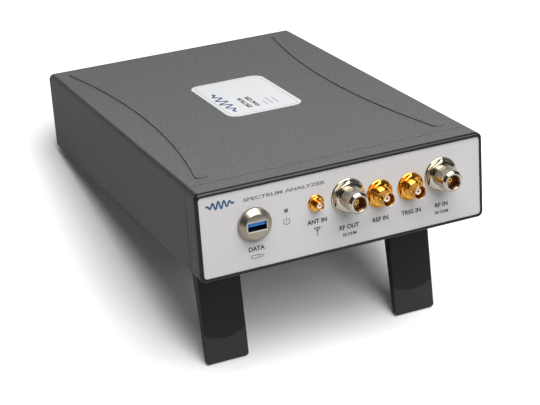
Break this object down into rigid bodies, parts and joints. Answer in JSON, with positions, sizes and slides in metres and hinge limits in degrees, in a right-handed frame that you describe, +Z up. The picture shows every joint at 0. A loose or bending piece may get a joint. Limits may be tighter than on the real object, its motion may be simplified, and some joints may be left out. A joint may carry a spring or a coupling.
{
  "type": "spectrum analyzer",
  "caption": "Flat dark grey bench instrument that analyses radio signals, with coaxial sockets on its light front panel and fold-out front legs.",
  "frame": {"origin": "centre of the bounding box on the floor, standing on its opened legs and rear feet", "axes": "+Z up, -Y towards the front panel, +X to the right as seen from the front; the case is pitched 16.9 degrees nose up"},
  "size_m": [0.2222, 0.34, 0.1619],
  "materials": {
    "cover_paint": "fine textured powder coat, dark grey",
    "bezel_paint": "fine textured dark grey with a smooth black front rim",
    "panel_film": "satin light grey printed film on a plate",
    "label_vinyl": "white satin label with grey print",
    "rear_paint": "fine textured dark grey",
    "leg_plastic": "moulded black, satin",
    "leg_rubber": "moulded black rubber, matte",
    "foot_rubber": "moulded black rubber, matte",
    "steel_pin": "ground",
    "nylon": "natural nylon",
    "zinc_screw": "zinc plated",
    "nickel_plate": "polished nickel plate",
    "usb_steel": "bright rolled",
    "usb_blue": "moulded blue",
    "lens_plastic": "smoked translucent",
    "gold_plate": "bright gold plate",
    "ptfe": "white, waxy",
    "tray_steel": "zinc coated sheet",
    "standoff_brass": "turned",
    "circuit_board": "green solder resist",
    "can_tin": "tin plate",
    "jumper_copper": "bare copper jacket",
    "sink_aluminium": "extruded, plain",
    "fan_plastic": "glass filled black",
    "inlet_plastic": "moulded black",
    "inlet_brass": "nickel plated"
  },
  "bodies": {
    "case": {"bnc_left_contact": "gold_plate", "bnc_left_insulator": "ptfe", "bnc_left_shell": "gold_plate", "bnc_nuts": "gold_plate", "bnc_right_contact": "gold_plate", "bnc_right_insulator": "ptfe", "bnc_right_shell": "gold_plate", "board_screws": "zinc_screw", "board_standoffs": "standoff_brass", "bottom_cover": "cover_paint", "chassis_tray": "tray_steel", "cover_screws": "zinc_screw", "fan_frame": "fan_plastic", "fan_screws": "zinc_screw", "foot_and_bracket_screws": "zinc_screw", "front_bezel": "bezel_paint", "front_left_foot": "foot_rubber", "front_panel": "panel_film", "front_right_foot": "foot_rubber", "generator_jumper": "jumper_copper", "generator_screening_can": "can_tin", "hinge_washers": "nylon", "left_hinge_pin": "steel_pin", "left_leg_bracket": "leg_plastic", "main_board": "circuit_board", "power_inlet": "inlet_plastic", "power_inlet_pins": "inlet_brass", "power_lens": "lens_plastic", "power_supply_board": "circuit_board", "processor_heat_sink": "sink_aluminium", "rear_left_foot": "foot_rubber", "rear_panel": "rear_paint", "rear_panel_screws": "zinc_screw", "rear_right_foot": "foot_rubber", "receiver_jumper": "jumper_copper", "receiver_screening_can": "can_tin", "right_hinge_pin": "steel_pin", "right_leg_bracket": "leg_plastic", "sma_contact": "gold_plate", "sma_insulator": "ptfe", "sma_nut": "gold_plate", "sma_shell": "gold_plate", "top_cover": "cover_paint", "top_label": "label_vinyl", "type_n_left_contact": "gold_plate", "type_n_left_insulator": "ptfe", "type_n_left_shell": "nickel_plate", "type_n_nuts": "nickel_plate", "type_n_right_contact": "gold_plate", "type_n_right_insulator": "ptfe", "type_n_right_shell": "nickel_plate", "usb_ring": "nickel_plate", "usb_shell": "usb_steel", "usb_tongue": "usb_blue"},
    "left_leg_set": {"left_leg": "leg_plastic", "left_leg_tip": "leg_rubber"},
    "right_leg_set": {"right_leg": "leg_plastic", "right_leg_tip": "leg_rubber"},
    "fan_wheel": {"fan_rotor": "fan_plastic"}
  },
  "joints": [
    {"name": "left_leg_fold", "type": "hinge", "parent": "case", "child": "left_leg_set", "pos_m": [-0.07775, -0.10495, 0.07733], "axis": [1, 0, 0], "range_deg": [0, 95]},
    {"name": "right_leg_fold", "type": "hinge", "parent": "case", "child": "right_leg_set", "pos_m": [0.07775, -0.10495, 0.07733], "axis": [1, 0, 0], "range_deg": [0, 95]},
    {"name": "fan_spin", "type": "hinge", "parent": "case", "child": "fan_wheel", "pos_m": [0.062, 0.14939, 0.04111], "axis": [0, 0.9569, -0.2904], "continuous": true}
  ]
}
